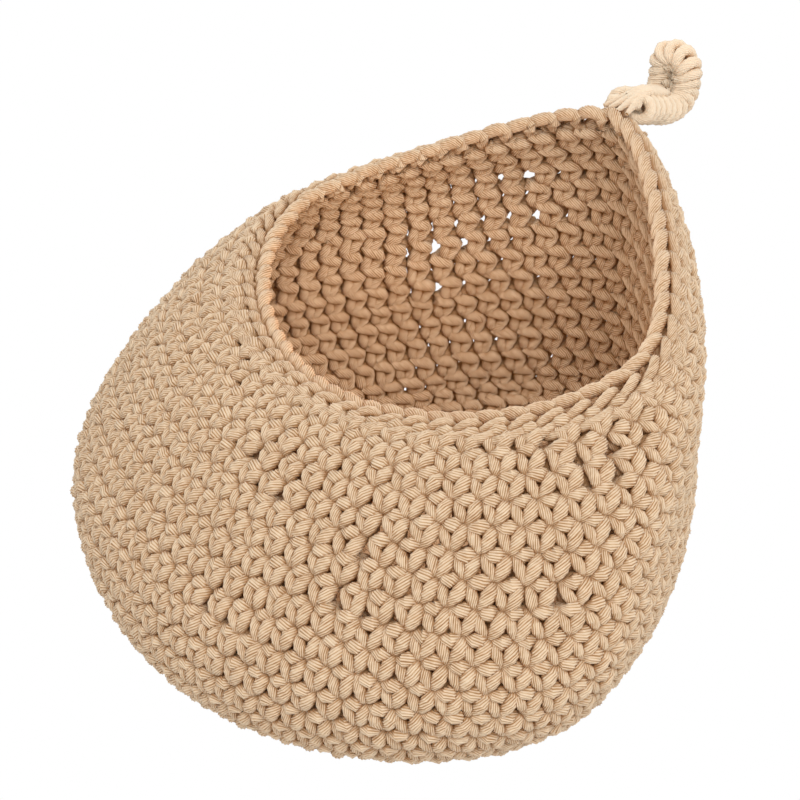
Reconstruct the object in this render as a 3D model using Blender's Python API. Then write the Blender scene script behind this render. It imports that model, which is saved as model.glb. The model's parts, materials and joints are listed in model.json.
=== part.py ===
"""Crocheted wall basket: a flat round base, a bulging pod wall whose back is drawn up to a point,
a rolled edging round the mouth, and a strap bent into the hanging loop behind the point.

Metres, +Z up, the front at -Y. The origin is the middle of the base's underside.
"""

import math

import bmesh
import bpy
import numpy as np

MM = 0.001

# The worked fabric
ROUND_HEIGHT = 6.9 * MM
FABRIC_THICKNESS = 6.0 * MM
SEAT_GAP = 0.3 * MM

# The base, an oval nearly round
BASE_HALF_WIDTH = 58.0 * MM
BASE_FRONT = 67.0 * MM
BASE_BACK = 64.0 * MM

# The wall: rounds worked above the base's edge, and the fabric's slope at some of them, in degrees
# up from level outward, so 90 is upright and more leans inward
WALL_ROUNDS = 16.7
SLOPE_ROUNDS = (0, 2, 5, 8.5, 13, 18)
FRONT_SLOPES = (0, 32, 87, 128, 136, 175)
SIDE_SLOPES = (0, 44, 52, 98, 112, 150)
BACK_SLOPES = (0, 36, 101, 98, 94, 138)

# The shape of a round at some of them: how far forward of the back its widest place lies, as a
# share of its depth, and how square (over 2) or pointed (under 2) its front and back halves are
SHAPE_ROUNDS = (0, 5, 10, 18)
WIDEST_SHARES = (0.6, 0.68, 0.64, 0.48)
FRONT_EXPONENTS = (2, 1.85, 1.85, 1.85)
BACK_EXPONENTS = (2, 1.6, 1.5, 1.57)

# The point that the loop draws the back into
POINT_REACH = 16.0 * MM
POINT_RISE = 12.0 * MM
POINT_SHARPNESS = 7.5
POINT_EASE = 0.5

# The edging, a rolled cord of slip stitches on the wall's upper edge
EDGING_HEIGHT = 9.0 * MM
EDGING_THICKNESS = 8.4 * MM

# The hanging loop, a strap bent double: its two legs leave the point side by side, run back and a
# little down, then turn up to its head. Angles are in degrees, slopes up from level
STRAP_WIDTH = 6.6 * MM
STRAP_THICKNESS = 5.4 * MM
LOOP_WIDTH = 16.4 * MM
LOOP_LENGTH = 35.0 * MM
LOOP_STRAIGHT = 12.4 * MM
LOOP_BEND_RADIUS = 6.2 * MM
LOOP_BEND_ANGLE = 108.0
LOOP_SLOPE = -20.0
LOOP_SEAT_SLOPE = 16.0

# Facets
AROUND = 60
UP_THE_WALL = 15
EDGING_SIDES = 10
STRAP_SIDES = 12
LEG_STEPS = 16
ROOT_STEPS = 4
TURN_STEPS = 9
SLOPE_STEPS = 200

COTTON = (0.72, 0.50, 0.31)
COTTON_ROUGHNESS = 0.95


def clear_scene():
    for old in list(bpy.data.objects):
        bpy.data.objects.remove(old)


def cotton():
    material = bpy.data.materials.new("cotton_yarn")
    material.use_nodes = True
    shader = material.node_tree.nodes["Principled BSDF"]
    shader.inputs["Base Color"].default_value = (*COTTON, 1)
    shader.inputs["Roughness"].default_value = COTTON_ROUGHNESS
    shader.inputs["Metallic"].default_value = 0
    return material


def loft(name, rings, closed, material, parent=None):
    """A solid through rings of points. Closed joins the last ring to the first, else ends are capped."""
    mesh = bmesh.new()
    loops = [[mesh.verts.new(point) for point in ring] for ring in rings]
    pairs = list(zip(loops, loops[1:] + loops[:1] if closed else loops[1:]))
    for low, high in pairs:
        for i in range(len(low)):
            j = (i + 1) % len(low)
            mesh.faces.new((low[i], low[j], high[j], high[i]))
    if not closed:
        mesh.faces.new(loops[0][::-1])
        mesh.faces.new(loops[-1])
    bmesh.ops.recalc_face_normals(mesh, faces=mesh.faces)
    data = bpy.data.meshes.new(name)
    mesh.to_mesh(data)
    mesh.free()
    data.shade_smooth()
    data.set_sharp_from_angle(angle=math.radians(50))
    data.materials.append(material)
    piece = bpy.data.objects.new(name, data)
    piece.parent = parent
    bpy.context.scene.collection.objects.link(piece)
    return piece


def meridian(slopes, rounds, depth):
    """Run outward and rise after so many rounds, at this depth under the fabric's outer face."""
    steps = (np.arange(SLOPE_STEPS) + 0.5) / SLOPE_STEPS * rounds
    angles = np.radians(np.interp(steps, SLOPE_ROUNDS, slopes))
    end = math.radians(np.interp(rounds, SLOPE_ROUNDS, slopes))
    run = rounds * ROUND_HEIGHT * np.cos(angles).mean() - depth * math.sin(end)
    rise = rounds * ROUND_HEIGHT * np.sin(angles).mean() + depth * math.cos(end)
    return run, rise


def turns():
    """Angles round the basket, starting at its right side and passing the back first."""
    return np.linspace(0, 2 * math.pi, AROUND, endpoint=False)


def point_pull(angles, rounds):
    """How much of the pull towards the point reaches each place of a round, from 0 to 1."""
    return ((1 + np.sin(angles)) / 2) ** POINT_SHARPNESS * (rounds / SLOPE_ROUNDS[-1]) ** POINT_EASE


def wall_ring(rounds, depth, angles, inset=0):
    """The round of fabric after so many rounds, at this depth under the outer face."""
    front_run, front_rise = meridian(FRONT_SLOPES, rounds, depth)
    back_run, back_rise = meridian(BACK_SLOPES, rounds, depth)
    half_width = BASE_HALF_WIDTH - inset + meridian(SIDE_SLOPES, rounds, depth)[0]
    front = np.array((inset - BASE_FRONT - front_run, front_rise))
    back = np.array((BASE_BACK - inset + back_run, back_rise))
    widest = back + np.interp(rounds, SHAPE_ROUNDS, WIDEST_SHARES) * (front - back)
    to_back = np.sin(angles) >= 0
    exponents = np.where(to_back, np.interp(rounds, SHAPE_ROUNDS, BACK_EXPONENTS),
                         np.interp(rounds, SHAPE_ROUNDS, FRONT_EXPONENTS))
    across = np.sign(np.cos(angles)) * np.abs(np.cos(angles)) ** (2 / exponents)
    along = (np.abs(np.sin(angles)) ** (2 / exponents))[:, None]
    middle = widest + along * np.where(to_back[:, None], back - widest, front - widest)
    pull = point_pull(angles, rounds)
    return np.stack([
        half_width * across,
        middle[:, 0] + POINT_REACH * pull,
        middle[:, 1] + POINT_RISE * pull,
    ], axis=1)


def build_base(material):
    bottom = wall_ring(0, 0, turns(), SEAT_GAP)
    top = wall_ring(0, FABRIC_THICKNESS, turns(), SEAT_GAP)
    return loft("base_round", [bottom, top], False, material)


def build_wall(material):
    levels = np.linspace(0, WALL_ROUNDS, UP_THE_WALL)
    outer = [wall_ring(level, 0, turns()) for level in levels]
    inner = [wall_ring(level, FABRIC_THICKNESS, turns()) for level in levels[::-1]]
    return loft("pod_wall", outer + inner, True, material)


def edging_middle():
    """Rounds up to the middle of the edging's cord."""
    return WALL_ROUNDS + (EDGING_HEIGHT / 2 + SEAT_GAP) / ROUND_HEIGHT


def build_edging(material):
    rings = []
    for angle in np.linspace(0, 2 * math.pi, EDGING_SIDES, endpoint=False):
        rounds = edging_middle() + math.cos(angle) * EDGING_HEIGHT / 2 / ROUND_HEIGHT
        depth = FABRIC_THICKNESS / 2 + math.sin(angle) * EDGING_THICKNESS / 2
        rings.append(wall_ring(rounds, depth, turns()))
    return loft("mouth_edging", rings, True, material)


def smooth_step(share):
    share = min(max(share, 0), 1)
    return share * share * (3 - 2 * share)


def loop_root():
    """The middle of the strap's rounded ends, which lies on the hinge: behind the edging's point."""
    back = np.array((math.pi / 2,))
    middle = wall_ring(edging_middle(), FABRIC_THICKNESS / 2, back)[0]
    reach = (EDGING_THICKNESS + STRAP_WIDTH) / 2 + SEAT_GAP
    angle = math.radians(LOOP_SEAT_SLOPE)
    return middle + reach * np.array((0, math.cos(angle), math.sin(angle)))


def leg_offset(along):
    """Half the distance between the legs' middles so far along the loop."""
    root = STRAP_THICKNESS / 2 + SEAT_GAP
    head = (LOOP_WIDTH - STRAP_THICKNESS) / 2
    return root + (head - root) * smooth_step(along / legs_end())


def legs_end():
    """How far along the loop its legs run before they close in a half turn."""
    return LOOP_LENGTH - LOOP_WIDTH / 2


def loop_frame(along):
    """Place on the loop's middle line so far from the hinge, its heading, and the way up from it."""
    full_turn = math.radians(LOOP_BEND_ANGLE)
    turn = min(max(along - LOOP_STRAIGHT, 0) / LOOP_BEND_RADIUS, full_turn)
    beyond = max(along - LOOP_STRAIGHT - full_turn * LOOP_BEND_RADIUS, 0)
    slope = math.radians(LOOP_SLOPE)
    start = np.array((0, math.cos(slope), math.sin(slope)))
    rising = np.array((0, -math.sin(slope), math.cos(slope)))
    heading = math.cos(turn) * start + math.sin(turn) * rising
    upward = math.cos(turn) * rising - math.sin(turn) * start
    place = start * min(along, LOOP_STRAIGHT) + heading * beyond
    place += LOOP_BEND_RADIUS * (math.sin(turn) * start + (1 - math.cos(turn)) * rising)
    return place, heading, upward


def strap_route():
    """(distance along the loop, offset across it) for each station of the strap, from end to end."""
    radius = leg_offset(legs_end())
    leg = [(along, leg_offset(along)) for along in np.linspace(0, legs_end(), LEG_STEPS)]
    turn = [(legs_end() + radius * math.sin(angle), radius * math.cos(angle))
            for angle in np.linspace(0, math.pi, TURN_STEPS)[1:-1]]
    return leg + turn + [(along, -offset) for along, offset in leg[::-1]]


def strap_ring(centre, sideways, through, half_width):
    angles = np.linspace(0, 2 * math.pi, STRAP_SIDES, endpoint=False)[:, None]
    return centre + np.cos(angles) * sideways * STRAP_THICKNESS / 2 + np.sin(angles) * through * half_width


def strap_rings():
    """The strap's sections along its route, with both ends rounded about the hinge."""
    route = strap_route()
    frames = [loop_frame(along) for along, _ in route]
    across = np.array((1, 0, 0))
    centres = np.array([place + offset * across for (place, _, _), (_, offset) in zip(frames, route)])
    headings = np.gradient(centres, axis=0)
    headings /= np.linalg.norm(headings, axis=1)[:, None]
    rings = [strap_ring(centre, np.cross(heading, upward), upward, STRAP_WIDTH / 2)
             for centre, heading, (_, _, upward) in zip(centres, headings, frames)]
    _, out, upward = loop_frame(0)
    for angle in np.linspace(0, math.pi / 2, ROOT_STEPS + 1)[1:]:
        back = -out * STRAP_WIDTH / 2 * math.sin(angle)
        half_width = max(STRAP_WIDTH / 2 * math.cos(angle), SEAT_GAP)
        rings.insert(0, strap_ring(centres[0] + back, np.cross(out, upward), upward, half_width))
        rings.append(strap_ring(centres[-1] + back, np.cross(-out, upward), upward, half_width))
    return rings


def build_loop(material):
    hinge = bpy.data.objects.new("loop_hinge", None)
    hinge.location = loop_root()
    bpy.context.scene.collection.objects.link(hinge)
    return loft("hanging_loop", strap_rings(), False, material, hinge)


def build_all():
    clear_scene()
    material = cotton()
    build_base(material)
    build_wall(material)
    build_edging(material)
    build_loop(material)


build_all()
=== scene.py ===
"""The looks of the crocheted wall basket: every stitch of the base, wall, edging and loop as plied yarn.

Lengths are in metres unless a comment says otherwise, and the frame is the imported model's.
"""

import json
import math

import bpy
import numpy as np
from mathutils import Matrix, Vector


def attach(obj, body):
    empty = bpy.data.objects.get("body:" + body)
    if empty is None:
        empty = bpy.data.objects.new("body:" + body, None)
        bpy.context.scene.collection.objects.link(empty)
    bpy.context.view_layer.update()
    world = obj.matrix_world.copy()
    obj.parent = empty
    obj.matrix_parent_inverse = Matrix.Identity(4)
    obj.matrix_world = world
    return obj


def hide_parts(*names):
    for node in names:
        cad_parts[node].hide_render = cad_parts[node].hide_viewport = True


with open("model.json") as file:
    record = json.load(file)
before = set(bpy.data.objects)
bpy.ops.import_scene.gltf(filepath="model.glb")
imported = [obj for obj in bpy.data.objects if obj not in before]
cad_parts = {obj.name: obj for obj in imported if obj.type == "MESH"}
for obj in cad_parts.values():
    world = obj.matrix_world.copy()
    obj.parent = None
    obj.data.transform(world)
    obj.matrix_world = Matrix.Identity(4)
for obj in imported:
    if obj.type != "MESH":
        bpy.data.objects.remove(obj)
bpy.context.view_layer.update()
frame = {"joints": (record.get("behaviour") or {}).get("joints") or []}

MM = 0.001
CM = 0.01

# The fabric's form, as in the solids. Slopes are in degrees, by rounds up from the base's edge
ROUND_HEIGHT = 6.9 * MM
FABRIC_THICKNESS = 6.0 * MM
BASE_HALF_WIDTH = 58.0 * MM
BASE_FRONT = 67.0 * MM
BASE_BACK = 64.0 * MM
SLOPE_ROUNDS = (0, 2, 5, 8.5, 13, 18)
FRONT_SLOPES = (0, 32, 87, 128, 136, 175)
SIDE_SLOPES = (0, 44, 52, 98, 112, 150)
BACK_SLOPES = (0, 36, 101, 98, 94, 138)
SHAPE_ROUNDS = (0, 5, 10, 18)
WIDEST_SHARES = (0.6, 0.68, 0.64, 0.48)
FRONT_EXPONENTS = (2, 1.85, 1.85, 1.85)
BACK_EXPONENTS = (2, 1.6, 1.5, 1.57)
POINT_REACH = 16.0 * MM
POINT_RISE = 12.0 * MM
POINT_SHARPNESS = 7.5
POINT_EASE = 0.5
SLOPE_STEPS = 200

# Stitches
BASE_ROUNDS = 9
WALL_ROUNDS = 17
FEWEST_STITCHES = 6
STITCH_WIDTH = 6.5 * MM
STRAND_DEPTH = 4.6 * MM
# How far a post stands beside the stitch below it, in stitches
ROUND_LEAN = -0.43
# How much the posts' feet and tops even out with their neighbours, and how much with the whole round
FEET_SPREAD = 0.8
TOPS_SPREAD = 3.0
EVENING = 0.12
# Wobble of a stitch's yarn, and what divides the sum of a wobble and its two neighbours
JITTER = 0.035
NEIGHBOURS_DIVISOR = 1.7

# Uneven tension: how much wider than even the stitches are at one share of the way round, and narrower
# opposite it, and how many rounds higher the wall's middle lies all round, and in front above the back
SLACK = 0.15
SLACK_SHARE = 0.125
LOW_ROUNDS_TALLER = 0.3
FRONT_TALLER = 0.6

# The base's yarn is raised so that it rests on the ground, and the wall's less and less, up to
# BASE_RISE_END rounds from the base's edge
BASE_RISE = 1.9 * MM
BASE_RISE_END = 1.2

# Edging. Its middle is counted in rounds
WALL_TOP = 16.7
EDGING_HEIGHT = 9.0 * MM
EDGING_GAP = 0.3 * MM
EDGING_MIDDLE = WALL_TOP + (EDGING_HEIGHT / 2 + EDGING_GAP) / ROUND_HEIGHT
LINK_LENGTH = 6.6 * MM
# Wobble of its yarn along it, in links, and across it, in millimetres
LINK_SLIP = 0.03
LINK_WOBBLE = 0.15

# Loop: the strap's form
STRAP_WIDTH = 8.6 * MM
STRAP_THICKNESS = 7.4 * MM
SEAT_GAP = -0.8 * MM
STRAP_START = -3.0 * MM
LOOP_WIDTH = 16.2 * MM
LOOP_LENGTH = 35.0 * MM
LOOP_STRAIGHT = 12.4 * MM
LOOP_BEND_RADIUS = 6.2 * MM
LOOP_BEND_ANGLE = 108.0
LOOP_SLOPE = -20.0
LEG_POINTS = 60
TURN_POINTS = 30
STRAP_POINTS = 500

# Loop: the yarn wound round the strap, in wider turns near its ends and thinner at the very end.
# WIND_SINK is how deep the yarn's middle lies under the strap's face, as a share of its radius
WIND_PITCH = 2.6 * MM
WIND_LEAN = 2.0 * MM
WIND_SINK = 0.85
WIND_SECTIONS = 10
WIND_SWELL = 0.05
WIND_END_REACH = 0.15
ROOT_FLARE = 0.25
ROOT_FADE = 4.0 * MM
LOOP_JITTER = 0.05
LOOP_END_THICKNESS = 0.35

# Loop: the yarn along the strap's outer edge
EDGE_PITCH = 4.0 * MM
EDGE_REACH = 3.0 * MM
EDGE_RISE = 1.0 * MM
EDGE_WAVE = 1.2 * MM
EDGE_SWAY = 0.22
EDGE_SECTIONS = 8

# Loop: the root's strands, each from a place beside the hinge in millimetres, over the strap at these
# shares of its length, where they keep these shares of the strap's and the start's distance sideways
ROOT_STARTS = ((-4.2, -4.0, 0.2), (-1.5, -5.2, 0.8), (1.3, -5.2, 0.8), (3.8, -4.0, 0.2))
ROOT_SHARES = (0.06, 0.12, 0.18, 0.24)
ROOT_STRAP_SHARE = 0.55
ROOT_START_SHARE = 0.25

# Yarn
YARN_RADIUS = 1.66 * MM
PLIES = 14
CORNERS = 2 * PLIES
PLY_DEPTH = 0.15
TWIST_PITCH = 13.5 * MM
CURVE_STEPS = 8
SECTION_STEP = 1.4 * MM
FEWEST_SECTIONS = 4
THICKNESS_JITTER = 0.03
# Any way that no strand's first heading follows
FIRST_SIDE = (0.3, 0.5, 0.8)

# Cotton: noise scales are per turn round the yarn and per centimetre along it
FIBRE_SCALE = (40, 5, 1)
FIBRE_DETAIL = 3
FIBRE_SHARE = 0.6
PATCH_SCALE = (9, 3, 1)
PATCH_DETAIL = 2
PATCH_MIDDLE = 0.5
LEVEL_TO_COLOUR = 0.7
COTTON_ROUGHNESS = 0.9
COTTON_SPECULAR = 0.2
COTTON_SHEEN = 0.15
BUMP_STRENGTH = 0.6
BUMP_DEPTH = 0.35 * MM
THROUGH_COLOUR = (0.90, 0.60, 0.30, 1)
THROUGH_SHARE = 0.3
# Painted shade: where other strands lie within HOLLOW_REACH, the yarn's colour is turned towards the
# darker colour of the hollows, by a mask these numbers shape
HOLLOW_REACH = 2.5 * MM
HOLLOW_SAMPLES = 6
HOLLOW_GAIN = 1.7
HOLLOW_BASE = -0.4
# Yarn colour from the plies' grooves to their ridges: the dark low stops are painted shade in the grooves
# between plies, the upper stops the cotton's own colour
YARN_STOPS = (
    (0.0, (0.26, 0.11, 0.035)),
    (0.26, (0.44, 0.23, 0.10)),
    (0.46, (0.84, 0.63, 0.41)),
    (0.8, (0.97, 0.80, 0.59)),
)
# Painted shade: the colour the yarn turns to where other strands lie close
YARN_HOLLOW_SHADE = (0.49, 0.26, 0.105)
# The loop's yarn is the same cotton as the rest, its colours raised as painted light for the brighter
# light on the loop; its low stops are still painted shade in the grooves between plies
LOOP_PAINTED_LIGHT_STOPS = (
    (0.0, (0.84, 0.64, 0.44)),
    (0.24, (0.92, 0.72, 0.51)),
    (0.40, (0.98, 0.82, 0.61)),
    (0.8, (1.00, 0.87, 0.68)),
)
# Painted shade where the loop's strands lie close, kept light with the loop's painted light
LOOP_HOLLOW_SHADE = (0.95, 0.76, 0.54)
# A mix node's sockets when it mixes colours
MIX_FACTOR, MIX_FIRST, MIX_SECOND, MIX_RESULT = 0, 6, 7, 2

# Stage. The camera's angles are in degrees, its sensor and focal length in millimetres
FLOOR_SIZE = 6
FLOOR_HEIGHT = -1.2 * MM
FLOOR_COLOUR = (0.85, 0.85, 0.85, 1)
WHITE = (1, 1, 1, 1)
KEY_PLACE = (0.6, -0.42, 1.1)
KEY_TARGET = (0, 0, 0.05)
KEY_SIZE = 0.8
KEY_POWER = 9.3
GLOW_PLACE = (0, 0, 75 * MM)
GLOW_RADIUS = 25 * MM
GLOW_POWER = 0.075
GLOW_COLOUR = (1, 0.62, 0.33)
CAMERA_AZIMUTH = 42.15
CAMERA_ELEVATION = 34.07
CAMERA_DISTANCE = 661.2 * MM
CAMERA_TARGET = (0, 0, 50.8 * MM)
SENSOR_WIDTH = 36
FOCAL_LENGTH = 109.6
SHIFT_ACROSS = -0.029
SHIFT_UP = 0.037
CLIP_START = 0.01

RANDOM = np.random.default_rng(7)

# One single crochet stitch: (stitches along from its post, rounds up from its foot, share of half the
# strand depth outward, yarn thickness), in the order in which the yarn is worked
STITCH = (
    (-0.48, 0.98, -0.56, 1.06),
    (-0.10, 0.86, -0.88, 1.12),
    (0.30, 0.72, -0.84, 1.10),
    (0.36, 0.46, -0.46, 0.94),
    (0.16, 0.16, -0.74, 1.06),
    (0.03, -0.14, -0.40, 0.75),
    (0.03, -0.25, 0.00, 0.54),
    (0.07, -0.13, 0.45, 0.70),
    (0.15, 0.06, 0.88, 0.92),
    (0.26, 0.28, 1.04, 1.00),
    (0.37, 0.50, 0.88, 0.98),
    (0.43, 0.70, 0.36, 0.88),
    (0.20, 0.88, -0.06, 0.80),
    (-0.14, 0.92, -0.06, 0.84),
    (-0.31, 0.80, 0.22, 0.96),
    (-0.30, 0.62, 0.74, 1.12),
    (-0.22, 0.40, 1.08, 1.24),
    (-0.12, 0.14, 0.92, 1.12),
    (-0.04, -0.11, 0.44, 0.74),
    (-0.03, -0.25, 0.00, 0.54),
    (-0.06, -0.12, -0.36, 0.75),
    (-0.14, 0.22, -0.72, 1.08),
    (-0.14, 0.56, -0.50, 0.86),
    (-0.16, 0.92, -0.06, 0.86),
    (-0.07, 0.86, 0.55, 1.16),
    (0.08, 0.80, 1.02, 1.30),
    (0.26, 0.79, 0.96, 1.12),
    (0.45, 0.79, 0.50, 0.72),
    (0.64, 0.88, 0.00, 0.58),
    (0.80, 1.00, -0.30, 0.75),
)

# One link of the edging's chain: (links along, millimetres up from the edging's middle, millimetres
# outward from it, yarn thickness)
LINK = (
    (0.10, -5.6, -0.2, 0.58),
    (0.00, -6.9, 1.4, 0.74),
    (0.34, -7.1, 2.4, 0.82),
    (0.80, -6.2, 2.8, 0.84),
    (1.16, -4.9, 2.4, 0.82),
    (1.36, -4.1, 1.1, 0.64),
    (1.05, -3.6, -0.6, 0.56),
    (0.64, -4.0, 0.2, 0.60),
    (0.76, -3.0, 1.9, 0.76),
    (1.08, -1.5, 2.8, 0.84),
    (1.38, -0.7, 2.6, 0.84),
    (1.62, -0.9, 1.3, 0.70),
    (1.56, 0.6, -0.4, 0.90),
    (1.42, -3.4, -0.7, 0.58),
)
# One turn of the cord on the edging's top, in the same terms
CORD = (
    (0.28, 2.3, -0.7, 0.98),
    (0.60, 3.0, 0.4, 1.10),
    (0.98, 2.7, 1.0, 1.14),
    (1.34, 1.8, 1.0, 1.08),
    (1.54, 0.9, 0.3, 0.92),
    (1.42, 1.3, -1.0, 0.86),
)


def reach_along(points):
    """How far along the line through these points each of them lies."""
    steps = np.linalg.norm(np.diff(points, axis=0), axis=1)
    return np.concatenate([(0,), np.cumsum(steps)])


def read_at(spots, places, rows):
    """What these rows, known at these places, say at the spots."""
    return np.stack([np.interp(spots, places, column) for column in rows.T], axis=1)


def meridian(slopes, rounds, depth):
    """Run outward and rise after so many rounds, at this depth under the fabric's outer face."""
    steps = (np.arange(SLOPE_STEPS) + 0.5) / SLOPE_STEPS * rounds
    angles = np.radians(np.interp(steps, SLOPE_ROUNDS, slopes))
    end = math.radians(np.interp(rounds, SLOPE_ROUNDS, slopes))
    run = rounds * ROUND_HEIGHT * np.cos(angles).mean() - depth * math.sin(end)
    rise = rounds * ROUND_HEIGHT * np.sin(angles).mean() + depth * math.cos(end)
    return run, rise


def point_pull(angles, rounds):
    """How strongly the fabric is drawn towards the point of the mouth."""
    return ((1 + np.sin(angles)) / 2) ** POINT_SHARPNESS * (rounds / SLOPE_ROUNDS[-1]) ** POINT_EASE


def wall_ring(rounds, depth, angles):
    """Places round the wall so many rounds up, at this depth under its outer face."""
    front_run, front_rise = meridian(FRONT_SLOPES, rounds, depth)
    back_run, back_rise = meridian(BACK_SLOPES, rounds, depth)
    half_width = BASE_HALF_WIDTH + meridian(SIDE_SLOPES, rounds, depth)[0]
    front = np.array((-BASE_FRONT - front_run, front_rise))
    back = np.array((BASE_BACK + back_run, back_rise))
    widest = back + np.interp(rounds, SHAPE_ROUNDS, WIDEST_SHARES) * (front - back)
    to_back = np.sin(angles) >= 0
    exponents = np.where(to_back, np.interp(rounds, SHAPE_ROUNDS, BACK_EXPONENTS),
                         np.interp(rounds, SHAPE_ROUNDS, FRONT_EXPONENTS))
    across = np.sign(np.cos(angles)) * np.abs(np.cos(angles)) ** (2 / exponents)
    along = (np.abs(np.sin(angles)) ** (2 / exponents))[:, None]
    middle = widest + along * np.where(to_back[:, None], back - widest, front - widest)
    pull = point_pull(angles, rounds)
    return np.stack([
        half_width * across,
        middle[:, 0] + POINT_REACH * pull,
        middle[:, 1] + POINT_RISE * pull,
    ], axis=1)


def fabric_ring(rounds, depth, angles):
    """wall_ring, carried on over the flat base, where rounds are below zero."""
    if rounds >= 0:
        return wall_ring(rounds, depth, angles)
    ring = wall_ring(0, depth, angles)
    ring[:, :2] *= (BASE_ROUNDS + rounds) / BASE_ROUNDS
    return ring


class Fabric:
    """The fabric's middle surface and the way out of it, by rounds and by share of the way round.

    Look-ups stay just under the tables' last row, so that there is always a row above them.
    """

    ROUND_STEP = 0.1
    AROUND = 720
    RING_FINENESS = 4
    TOP_MARGIN = 1.001

    def __init__(self):
        self.rounds = np.arange(-BASE_ROUNDS, SLOPE_ROUNDS[-1] + 1, self.ROUND_STEP)
        rings = [self.even_ring(min(rounds, SLOPE_ROUNDS[-1])) for rounds in self.rounds]
        self.middles, outs, self.lengths = (np.array(part) for part in zip(*rings))
        self.outs = outs / np.linalg.norm(outs, axis=2)[:, :, None]

    def even_ring(self, rounds):
        """Evenly spaced places round the fabric from its back, ways out there, and the length round."""
        turn = math.pi / 2 - np.linspace(0, 2 * math.pi, self.RING_FINENESS * self.AROUND + 1)
        outer = fabric_ring(rounds, 0, turn)
        inner = fabric_ring(rounds, FABRIC_THICKNESS, turn)
        middle = (outer + inner) / 2
        reach = reach_along(middle)
        even = np.arange(self.AROUND) / self.AROUND * reach[-1]
        return read_at(even, reach, middle), read_at(even, reach, outer - inner), reach[-1]

    def length(self, rounds):
        """The length round the fabric, so many rounds up."""
        return np.interp(rounds, self.rounds, self.lengths)

    def look_up(self, table, rounds, shares):
        """What one of the tables says here, read between its rows and columns."""
        last = len(self.rounds) - self.TOP_MARGIN
        row = np.clip((rounds - self.rounds[0]) / self.ROUND_STEP, 0, last)
        column = (shares % 1) * self.AROUND
        low_row, low_column = row.astype(int), column.astype(int) % self.AROUND
        high_column = (low_column + 1) % self.AROUND
        up, on = (row - low_row)[:, None], (column - np.floor(column))[:, None]
        low = table[low_row, low_column] * (1 - on) + table[low_row, high_column] * on
        high = table[low_row + 1, low_column] * (1 - on) + table[low_row + 1, high_column] * on
        return low * (1 - up) + high * up

    def worked_at(self, rounds, shares):
        """Where on the surface the stitches so far up and round lie: the wall is worked unevenly tight."""
        turn = 2 * math.pi * shares
        slack = 2 * math.pi * SLACK_SHARE
        shares = shares + SLACK / (2 * math.pi) * (np.sin(turn - slack) + math.sin(slack))
        swell = np.sin(math.pi * np.clip(rounds / WALL_ROUNDS, 0, 1))
        return rounds + (LOW_ROUNDS_TALLER - FRONT_TALLER * np.cos(turn)) * swell, shares

    def place(self, rounds, shares, outward):
        """Points at these rounds and shares of the way round, so far outward of the middle surface."""
        rounds, shares = self.worked_at(rounds, shares)
        ways = self.look_up(self.outs, rounds, shares)
        points = self.look_up(self.middles, rounds, shares) + ways * outward[:, None]
        points[:, 2] += BASE_RISE * np.clip(BASE_RISE_END - rounds, 0, 1)
        return points


def settle(places, spread):
    """These places round the fabric evened out as worked yarn evens itself, more so with more spread."""
    count = len(places)
    uneven = places - np.arange(count) / count
    matrix = np.eye(count) * (1 + 2 * spread + EVENING)
    matrix -= spread * (np.roll(np.eye(count), 1, axis=1) + np.roll(np.eye(count), -1, axis=1))
    return places - uneven + uneven.mean() + np.linalg.solve(matrix, uneven - uneven.mean())


def feet_on(below, count):
    """Where count posts stand on the tops below them, with skips and twins spread evenly."""
    parents = np.floor(np.arange(count) * len(below) / count + RANDOM.random()).astype(int)
    feet = below[parents % len(below)] + parents // len(below) + ROUND_LEAN / len(below)
    return settle(feet, FEET_SPREAD)


def repeated(pattern, count):
    """The pattern's columns, repeated count times, and the number of each row's repeat."""
    columns = [np.tile(column, count) for column in np.transpose(pattern)]
    return columns, np.repeat(np.arange(count), len(pattern))


def track_of(places, thick):
    """A yarn's way: places, and thickness as a share of the yarn's."""
    return np.column_stack([places, thick])


def round_of_stitches(fabric, start, below):
    """The yarn's track for one round on the tops below it, and where its own posts' tops are."""
    count = max(FEWEST_STITCHES, round(fabric.length(start + 1) / STITCH_WIDTH))
    feet = np.arange(count) / count if below is None else feet_on(below, count)
    tops = settle(feet, TOPS_SPREAD)
    (along, up, out, thick), stitch = repeated(STITCH, count)
    wobble = RANDOM.normal(0, JITTER, (3, len(stitch)))
    wobble = (wobble + np.roll(wobble, 1, axis=1) + np.roll(wobble, -1, axis=1)) / NEIGHBOURS_DIVISOR
    height = np.clip(up, 0, 1)
    share = feet[stitch] * (1 - height) + tops[stitch] * height
    share = share + (along + wobble[0]) / count
    rounds = start + up + wobble[1]
    places = fabric.place(rounds, share, (out + 2 * wobble[2]) * STRAND_DEPTH / 2)
    return track_of(places, thick * (1 + RANDOM.normal(0, THICKNESS_JITTER, len(thick)))), tops


def curve_through(track, closed):
    """The track's rows joined by a smooth curve, with CURVE_STEPS rows from each of them to the next."""
    if closed:
        ring = np.concatenate([track[-1:], track, track[:2]])
    else:
        ring = np.concatenate([track[:1], track, track[-1:]])
    t = (np.arange(CURVE_STEPS) / CURVE_STEPS)[None, :, None]
    a, b, c, d = (ring[k:len(ring) - 3 + k, None, :] for k in range(4))
    square = 2 * a - 5 * b + 4 * c - d
    cube = 3 * b - a - 3 * c + d
    fine = 0.5 * (2 * b + (c - a) * t + square * t**2 + cube * t**3)
    fine = fine.reshape(-1, track.shape[1])
    return np.concatenate([fine, fine[:1] if closed else ring[-2:-1]])


def smooth_track(track, closed):
    """This track on a smooth curve through its rows, evenly spaced, and its length."""
    fine = curve_through(track, closed)
    reach = reach_along(fine[:, :3])
    count = max(FEWEST_SECTIONS, round(reach[-1] / SECTION_STEP))
    even = np.linspace(0, reach[-1], count, endpoint=not closed)
    return read_at(even, reach, fine), reach[-1]


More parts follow.
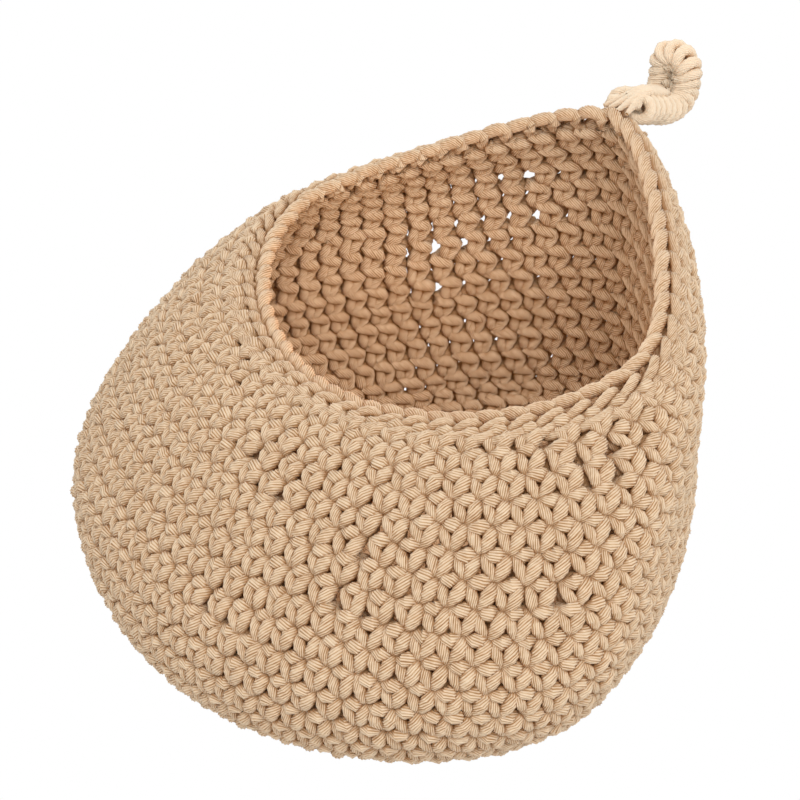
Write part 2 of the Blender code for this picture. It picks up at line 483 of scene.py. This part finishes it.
def headings_along(points, closed):
    """The unit way ahead at each of these points."""
    if closed:
        ahead = np.roll(points, -1, axis=0) - np.roll(points, 1, axis=0)
    else:
        ahead = np.gradient(points, axis=0)
    return ahead / np.linalg.norm(ahead, axis=1)[:, None]


def carried_normals(headings):
    """A normal for each heading, turned as little as possible from one to the next."""
    normals = np.empty_like(headings)
    normal = np.cross(headings[0], FIRST_SIDE)
    for k, heading in enumerate(headings):
        normal = normal - heading * (normal @ heading)
        normal = normal / math.sqrt(normal @ normal)
        normals[k] = normal
    return normals


def skin_points(track, normals, sides, length):
    """The corners of the yarn's skin, section by section: a ridge on each ply, a groove beside it."""
    twist = np.arange(len(track)) / len(track) * length / TWIST_PITCH * 2 * math.pi
    corners = np.arange(CORNERS)
    angle = corners[None] * math.pi / PLIES + twist[:, None]
    reach = YARN_RADIUS * track[:, 3:] * np.where(corners % 2 == 0, 1, 1 - PLY_DEPTH)
    points = track[:, None, :3] + (np.cos(angle) * reach)[..., None] * normals[:, None]
    points = points + (np.sin(angle) * reach)[..., None] * sides[:, None]
    return points.reshape(-1, 3)


def seam_shift(normals, sides, length):
    """By how many corners the skin is turned where a closed yarn's end meets its start."""
    carried = math.atan2(normals[-1] @ sides[0], normals[-1] @ normals[0])
    return round(-(length / TWIST_PITCH + carried / (2 * math.pi)) * CORNERS) % CORNERS


def skin_quads(count, closed, shift):
    """The skin's faces, each between two corners of one section and two of the next."""
    rows = np.arange(count if closed else count - 1)[:, None]
    corners = np.arange(CORNERS)[None]
    here = rows * CORNERS + corners
    here_next = rows * CORNERS + (corners + 1) % CORNERS
    onward = (rows + 1) % count * CORNERS
    offset = np.where(rows == count - 1, shift, 0)
    there = onward + (corners + offset) % CORNERS
    there_next = onward + (corners + 1 + offset) % CORNERS
    return np.stack([here, here_next, there_next, there], axis=2).reshape(-1, 4)


def add_coordinates(mesh, quads, section_step):
    """UV: the share of the way round the yarn, and centimetres along it."""
    row, corner = np.divmod(quads[:, :1], CORNERS)
    around = (corner + np.array((0, 1, 1, 0))) / CORNERS
    along = (row + np.array((0, 0, 1, 1))) * section_step / CM
    layer = mesh.uv_layers.new(name="yarn")
    layer.data.foreach_set("uv", np.stack([around, along], axis=2).reshape(-1))


def skin_mesh(name, points, quads, section_step):
    """A smooth mesh of these points and faces, whose ridge attribute is 1 on ridges, 0 in grooves."""
    mesh = bpy.data.meshes.new(name)
    mesh.vertices.add(len(points))
    mesh.vertices.foreach_set("co", points.reshape(-1))
    mesh.loops.add(quads.size)
    mesh.loops.foreach_set("vertex_index", quads.reshape(-1))
    mesh.polygons.add(len(quads))
    mesh.polygons.foreach_set("loop_start", np.arange(0, quads.size, 4))
    mesh.update(calc_edges=True)
    mesh.shade_smooth()
    add_coordinates(mesh, quads, section_step)
    ridge = mesh.attributes.new("ridge", "FLOAT", "POINT")
    ridge.data.foreach_set("value", np.tile((1.0, 0.0), len(points) // 2))
    return mesh


def new_object(name, data):
    """An object of this data, in the scene."""
    thing = bpy.data.objects.new(name, data)
    bpy.context.scene.collection.objects.link(thing)
    return thing


def yarn_piece(name, track, material, closed=True):
    """A piece of plied yarn along this track."""
    track, length = smooth_track(track, closed)
    headings = headings_along(track[:, :3], closed)
    normals = carried_normals(headings)
    sides = np.cross(headings, normals)
    points = skin_points(track, normals, sides, length)
    shift = seam_shift(normals, sides, length) if closed else 0
    quads = skin_quads(len(track), closed, shift)
    piece = new_object(name, skin_mesh(name, points, quads, length / len(track)))
    piece.data.materials.append(material)
    return piece


def build_fabric(material):
    """The base's and the wall's rounds, each worked on the one before it."""
    fabric = Fabric()
    tops = None
    base_pieces, wall_pieces = [], []
    for start in range(-BASE_ROUNDS, WALL_ROUNDS):
        track, tops = round_of_stitches(fabric, start, tops)
        if start < 0:
            base_pieces.append(yarn_piece(f"base_stitches_{start + BASE_ROUNDS + 1}", track, material))
        else:
            wall_pieces.append(yarn_piece(f"wall_stitches_{start + 1}", track, material))
    return fabric, base_pieces, wall_pieces


def edging_yarn(fabric, pattern):
    """The track of a yarn that repeats this pattern all along the edging."""
    count = round(fabric.length(EDGING_MIDDLE) / LINK_LENGTH)
    (along, up, out, thick), link = repeated(pattern, count)
    wobble = RANDOM.normal(0, 1, (3, len(link)))
    share = -(link + along + LINK_SLIP * wobble[0]) / count
    rounds = EDGING_MIDDLE + (up + LINK_WOBBLE * wobble[1]) * MM / ROUND_HEIGHT
    points = fabric.place(rounds, share, (out + LINK_WOBBLE * wobble[2]) * MM)
    return track_of(points, thick)


def build_edging(fabric, material):
    """The edging's chain, and the cord that lies on it."""
    patterns = (("edging_stitches", LINK), ("edging_cord", CORD))
    return [yarn_piece(name, edging_yarn(fabric, pattern), material) for name, pattern in patterns]


def leg_offset(along):
    """Half the distance between the legs' middles so far along the loop."""
    root = STRAP_THICKNESS / 2 + SEAT_GAP
    head = (LOOP_WIDTH - STRAP_THICKNESS) / 2
    share = min(max(along / (LOOP_LENGTH - LOOP_WIDTH / 2), 0), 1)
    return root + (head - root) * share * share * (3 - 2 * share)


def loop_frame(along):
    """Place on the loop's middle line so far from the hinge, and the way up from it."""
    full_turn = math.radians(LOOP_BEND_ANGLE)
    turn = min(max(along - LOOP_STRAIGHT, 0) / LOOP_BEND_RADIUS, full_turn)
    beyond = max(along - LOOP_STRAIGHT - full_turn * LOOP_BEND_RADIUS, 0)
    slope = math.radians(LOOP_SLOPE)
    start = np.array((0, math.cos(slope), math.sin(slope)))
    rising = np.array((0, -math.sin(slope), math.cos(slope)))
    heading = math.cos(turn) * start + math.sin(turn) * rising
    upward = math.cos(turn) * rising - math.sin(turn) * start
    place = start * min(along, LOOP_STRAIGHT) + heading * beyond
    place += LOOP_BEND_RADIUS * (math.sin(turn) * start + (1 - math.cos(turn)) * rising)
    return place, upward


def strap_route():
    """The strap's middle line out, round and back: (along the loop, offset from the loop's middle)."""
    legs = LOOP_LENGTH - LOOP_WIDTH / 2
    radius = leg_offset(legs)
    leg = [(along, leg_offset(along)) for along in np.linspace(STRAP_START, legs, LEG_POINTS)]
    turn = [(legs + radius * math.sin(angle), radius * math.cos(angle))
            for angle in np.linspace(0, math.pi, TURN_POINTS)[1:-1]]
    return leg + turn + [(along, -offset) for along, offset in leg[::-1]]


def strap_middle():
    """Even places on the strap's middle line, from the hinge, the ways up from them, and its length."""
    route = strap_route()
    frames = [loop_frame(along) for along, _ in route]
    across = np.array((1, 0, 0))
    places = np.array([place + offset * across for (place, _), (_, offset) in zip(frames, route)])
    ways = np.array([upward for _, upward in frames])
    reach = reach_along(places)
    even = np.linspace(0, reach[-1], STRAP_POINTS)
    return read_at(even, reach, places), read_at(even, reach, ways), reach[-1]


def along_strap(tables, phase):
    """The strap's tables, read at each phase of a winding that runs its whole length."""
    spots = phase / phase[-1] * (len(tables[0]) - 1)
    return [read_at(spots, np.arange(len(table)), table) for table in tables]


def wound_yarn(tables, length):
    """Yarn wound round the strap."""
    turns = length / WIND_PITCH
    phase = np.linspace(0, turns * 2 * math.pi, round(turns * WIND_SECTIONS))
    middle, sides, ways, headings = along_strap(tables, phase)
    ends = np.minimum(phase, phase[-1] - phase) / phase[-1] * length
    flare = 1 + ROOT_FLARE * np.exp(-ends / ROOT_FADE)
    flare = (flare * np.minimum(1, WIND_END_REACH + ends / WIND_PITCH))[:, None]
    swell = 1 + RANDOM.normal(0, WIND_SWELL, (len(phase), 1))
    sink = YARN_RADIUS * WIND_SINK
    points = middle + np.cos(phase)[:, None] * sides * (STRAP_THICKNESS / 2 - sink) * flare * swell
    points += np.sin(phase)[:, None] * ways * (STRAP_WIDTH / 2 - sink) * flare * swell
    return points + (WIND_LEAN * np.cos(phase))[:, None] * headings


def edge_yarn(tables, length):
    """Yarn that knots its way along the strap's outer edge."""
    turns = length / EDGE_PITCH
    phase = np.linspace(0, turns * 2 * math.pi, round(turns * EDGE_SECTIONS))
    middle, sides, ways, headings = along_strap(tables, phase)
    points = middle - sides * EDGE_REACH * (1 + EDGE_SWAY * np.cos(phase))[:, None]
    points += ways * (EDGE_RISE + EDGE_WAVE * np.sin(phase))[:, None]
    return points + headings * (EDGE_WAVE * np.cos(phase))[:, None]


def root_yarn(tables, start):
    """A strand that sweeps from the edging, at this place beside the hinge, up over the strap."""
    middle, _, ways, _ = tables
    spots = [round(share * (len(middle) - 1)) for share in ROOT_SHARES]
    over = middle[spots] + ways[spots] * STRAP_WIDTH / 2
    over[:, 0] = over[:, 0] * ROOT_STRAP_SHARE + start[0] * ROOT_START_SHARE
    return np.array([middle[0] * (0, 1, 1) + start, *over])


def build_loop(material):
    """The loop's windings, its edge and the strands of its root."""
    places, ways, length = strap_middle()
    places = places + np.array(frame["joints"][0]["pos_m"])
    headings = headings_along(places, closed=False)
    tables = (places, np.cross(headings, ways), ways, headings)
    strands = {"loop_stitches": wound_yarn(tables, length), "loop_edge": edge_yarn(tables, length)}
    for number, start in enumerate(ROOT_STARTS):
        strands[f"loop_root_{number + 1}"] = root_yarn(tables, np.array(start) * MM)
    pieces = []
    for name, points in strands.items():
        thick = 1 + RANDOM.normal(0, LOOP_JITTER, len(points))
        thick[0] = thick[-1] = LOOP_END_THICKNESS
        pieces.append(yarn_piece(name, track_of(points, thick), material, closed=False))
    return pieces


def shader_nodes(owner):
    """The nodes and links of a material or a world."""
    owner.use_nodes = True
    return owner.node_tree.nodes, owner.node_tree.links


def value_node(nodes, links, operation, *inputs):
    """A math node fed with these sockets or plain numbers; its result."""
    node = nodes.new("ShaderNodeMath")
    node.operation = operation
    for socket, value in zip(node.inputs, inputs):
        if isinstance(value, (int, float)):
            socket.default_value = value
        else:
            links.new(value, socket)
    return node.outputs["Value"]


def noise_node(nodes, links, vector, scale, detail):
    """Noise of this scale and detail along this vector."""
    stretch = nodes.new("ShaderNodeMapping")
    stretch.inputs["Scale"].default_value = scale
    links.new(vector, stretch.inputs["Vector"])
    noise = nodes.new("ShaderNodeTexNoise")
    noise.inputs["Scale"].default_value = 1
    noise.inputs["Detail"].default_value = detail
    links.new(stretch.outputs["Vector"], noise.inputs["Vector"])
    return noise.outputs["Fac"]


def ramp_node(nodes, links, value, stops):
    """A colour ramp through these (place, colour) stops."""
    ramp = nodes.new("ShaderNodeValToRGB")
    elements = ramp.color_ramp.elements
    while len(elements) < len(stops):
        elements.new(0.5)
    for element, (place, colour) in zip(elements, stops):
        element.position = place
        element.color = (*colour, 1)
    links.new(value, ramp.inputs["Fac"])
    return ramp.outputs["Color"]


def mix_shaders(nodes, links, share, first, second):
    """This share, a socket or a number, of the second shader with the rest of the first."""
    mix = nodes.new("ShaderNodeMixShader")
    if isinstance(share, float):
        mix.inputs["Fac"].default_value = share
    else:
        links.new(share, mix.inputs["Fac"])
    links.new(first, mix.inputs[1])
    links.new(second, mix.inputs[2])
    return mix.outputs["Shader"]


def ply_level(nodes, links):
    """How high the skin stands: on the plies' ridges, with fibres and patches in it."""
    uv = nodes.new("ShaderNodeUVMap")
    uv.uv_map = "yarn"
    fibres = noise_node(nodes, links, uv.outputs["UV"], FIBRE_SCALE, FIBRE_DETAIL)
    patches = noise_node(nodes, links, uv.outputs["UV"], PATCH_SCALE, PATCH_DETAIL)
    ridge = nodes.new("ShaderNodeAttribute")
    ridge.attribute_name = "ridge"
    level = value_node(nodes, links, "SUBTRACT", patches, PATCH_MIDDLE)
    level = value_node(nodes, links, "ADD", ridge.outputs["Fac"], level)
    return value_node(nodes, links, "MULTIPLY_ADD", fibres, FIBRE_SHARE, level)


def painted_hollow_shade(nodes, links, skin, hollow_shade):
    """The skin's colour, turned to a darker colour where other strands lie close: painted shade in the
    hollows between them.
    """
    openness = nodes.new("ShaderNodeAmbientOcclusion")
    openness.samples = HOLLOW_SAMPLES
    openness.inputs["Distance"].default_value = HOLLOW_REACH
    share = value_node(nodes, links, "MULTIPLY_ADD", openness.outputs["AO"], HOLLOW_GAIN, HOLLOW_BASE)
    mix = nodes.new("ShaderNodeMix")
    mix.data_type = "RGBA"
    mix.clamp_factor = True
    links.new(share, mix.inputs[MIX_FACTOR])
    mix.inputs[MIX_FIRST].default_value = (*hollow_shade, 1)
    links.new(skin, mix.inputs[MIX_SECOND])
    return mix.outputs[MIX_RESULT]


def cotton(name, stops, hollow_shade):
    """Cotton yarn, coloured by these stops from groove to ridge with painted shade in the grooves and
    between close strands, that lets some light through.
    """
    material = bpy.data.materials.new(name)
    nodes, links = shader_nodes(material)
    shader = nodes["Principled BSDF"]
    shader.inputs["Roughness"].default_value = COTTON_ROUGHNESS
    shader.inputs["Specular IOR Level"].default_value = COTTON_SPECULAR
    shader.inputs["Sheen Weight"].default_value = COTTON_SHEEN
    level = ply_level(nodes, links)
    # The ramp paints shade into the plies' grooves; the fibre and patch noise in the level is the cotton's
    # own uneven tone
    skin = ramp_node(nodes, links, value_node(nodes, links, "MULTIPLY", level, LEVEL_TO_COLOUR), stops)
    links.new(painted_hollow_shade(nodes, links, skin, hollow_shade), shader.inputs["Base Color"])
    bump = nodes.new("ShaderNodeBump")
    bump.inputs["Strength"].default_value = BUMP_STRENGTH
    bump.inputs["Distance"].default_value = BUMP_DEPTH
    links.new(level, bump.inputs["Height"])
    links.new(bump.outputs["Normal"], shader.inputs["Normal"])
    through = nodes.new("ShaderNodeBsdfTranslucent")
    through.inputs["Color"].default_value = THROUGH_COLOUR
    surface = mix_shaders(nodes, links, THROUGH_SHARE, shader.outputs["BSDF"], through.outputs["BSDF"])
    links.new(surface, nodes["Material Output"].inputs["Surface"])
    return material


def white_backdrop():
    """A floor that is plain white to the camera and a pale surface to the light."""
    material = bpy.data.materials.new("floor")
    nodes, links = shader_nodes(material)
    nodes.remove(nodes["Principled BSDF"])
    path = nodes.new("ShaderNodeLightPath")
    pale = nodes.new("ShaderNodeBsdfDiffuse")
    pale.inputs["Color"].default_value = FLOOR_COLOUR
    white = nodes.new("ShaderNodeEmission")
    to_camera = path.outputs["Is Camera Ray"]
    surface = mix_shaders(nodes, links, to_camera, pale.outputs["BSDF"], white.outputs["Emission"])
    links.new(surface, nodes["Material Output"].inputs["Surface"])
    bpy.ops.mesh.primitive_plane_add(size=FLOOR_SIZE, location=(0, 0, FLOOR_HEIGHT))
    floor = bpy.context.object
    floor.name = "floor"
    floor.data.materials.append(material)


def world_light():
    """Even white light from all round."""
    world = bpy.data.worlds.new("studio")
    bpy.context.scene.world = world
    nodes, _ = shader_nodes(world)
    nodes["Background"].inputs["Strength"].default_value = 1.0
    nodes["Background"].inputs["Color"].default_value = WHITE


def key_light():
    """The large soft light above and to the right of the camera."""
    data = bpy.data.lights.new("key", "AREA")
    data.shape = "DISK"
    data.size = KEY_SIZE
    data.energy = KEY_POWER
    light = new_object("key", data)
    light.location = KEY_PLACE
    light.rotation_euler = (Vector(KEY_PLACE) - Vector(KEY_TARGET)).to_track_quat("Z", "Y").to_euler()


def glow_light():
    """The warm light that comes through the fabric into the pod."""
    data = bpy.data.lights.new("through_light", "POINT")
    data.shadow_soft_size = GLOW_RADIUS
    data.energy = GLOW_POWER
    data.color = GLOW_COLOUR
    new_object("through_light", data).location = GLOW_PLACE


def camera():
    """The photo's camera, as fitted to its outline."""
    turn, tilt = math.radians(CAMERA_AZIMUTH), math.radians(CAMERA_ELEVATION)
    back = Vector((math.sin(turn) * math.cos(tilt), -math.cos(turn) * math.cos(tilt), math.sin(tilt)))
    data = bpy.data.cameras.new("camera")
    data.sensor_width = SENSOR_WIDTH
    data.lens = FOCAL_LENGTH
    data.shift_x = SHIFT_ACROSS
    data.shift_y = SHIFT_UP
    data.clip_start = CLIP_START
    eye = new_object("camera", data)
    eye.location = Vector(CAMERA_TARGET) + back * CAMERA_DISTANCE
    eye.rotation_euler = back.to_track_quat("Z", "Y").to_euler()
    bpy.context.scene.camera = eye


material = cotton("cotton_yarn", YARN_STOPS, YARN_HOLLOW_SHADE)
fabric, base_pieces, wall_pieces = build_fabric(material)
for piece in base_pieces:
    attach(piece, "basket")
for piece in wall_pieces:
    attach(piece, "basket")
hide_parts("base_round")
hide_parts("pod_wall")
edging_pieces = build_edging(fabric, material)
for piece in edging_pieces:
    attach(piece, "basket")
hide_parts("mouth_edging")
# The loop is drawn with a lighter copy of the cotton: painted light for the brighter light that falls on
# it
loop_pieces = build_loop(cotton("cotton_loop_yarn", LOOP_PAINTED_LIGHT_STOPS, LOOP_HOLLOW_SHADE))
for piece in loop_pieces:
    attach(piece, "loop")
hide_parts("hanging_loop")
white_backdrop()
world_light()
key_light()
glow_light()
camera()
bpy.context.scene.view_settings.view_transform = "Standard"
